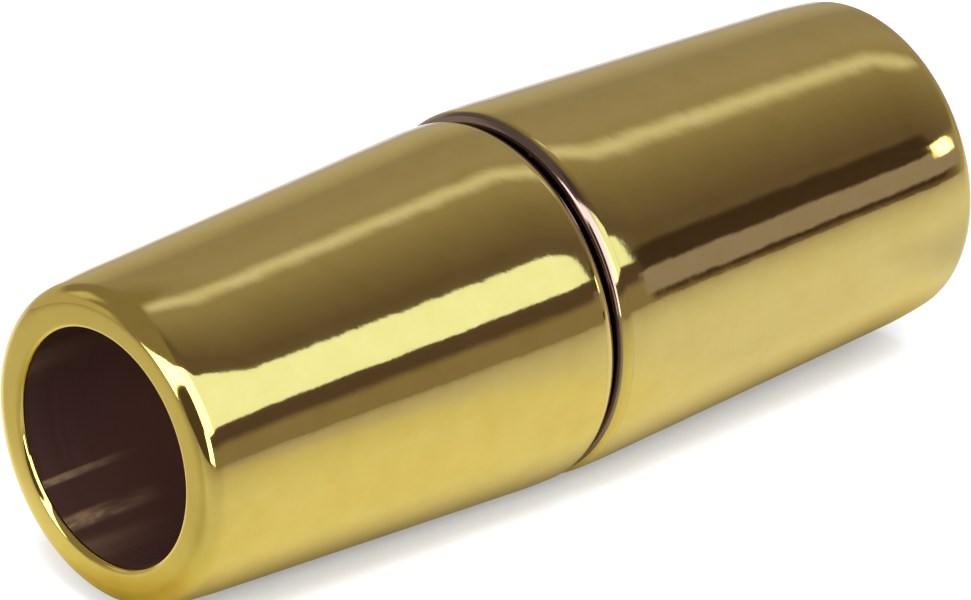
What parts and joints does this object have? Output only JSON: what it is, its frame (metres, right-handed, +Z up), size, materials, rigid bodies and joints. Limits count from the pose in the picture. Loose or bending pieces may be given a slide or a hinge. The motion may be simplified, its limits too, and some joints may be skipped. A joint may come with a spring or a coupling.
{
  "type": "magnetic clasp",
  "caption": "Gold-plated barrel magnetic clasp with tapered halves, a blind hole at each end for a glued-in round cord, and disc magnets that hold the halves together at the seam.",
  "frame": {"origin": "middle of the closed clasp's box, on the far half's axis, at the seam", "axes": "+X along the clasp's axis from the near half to the far half, +Z up, with the clasp lying on its side"},
  "size_m": [0.021, 0.0078, 0.0078],
  "materials": {
    "near_shell": "polished gold plating",
    "far_shell": "polished gold plating",
    "near_magnet": "nickel plating",
    "far_magnet": "nickel plating"
  },
  "bodies": {
    "near_half": {"near_shell": "near_shell", "near_magnet": "near_magnet"},
    "far_core": {"far_magnet": "far_magnet"},
    "far_half": {"far_shell": "far_shell"}
  },
  "joints": [
    {"name": "seam_pull", "type": "slide", "parent": "near_half", "child": "far_core", "axis": [1, 0, 0], "range_m": [0, 0.012]},
    {"name": "seam_twist", "type": "hinge", "parent": "far_core", "child": "far_half", "pos_m": [0, 0, 0], "axis": [1, 0, 0], "continuous": true}
  ]
}
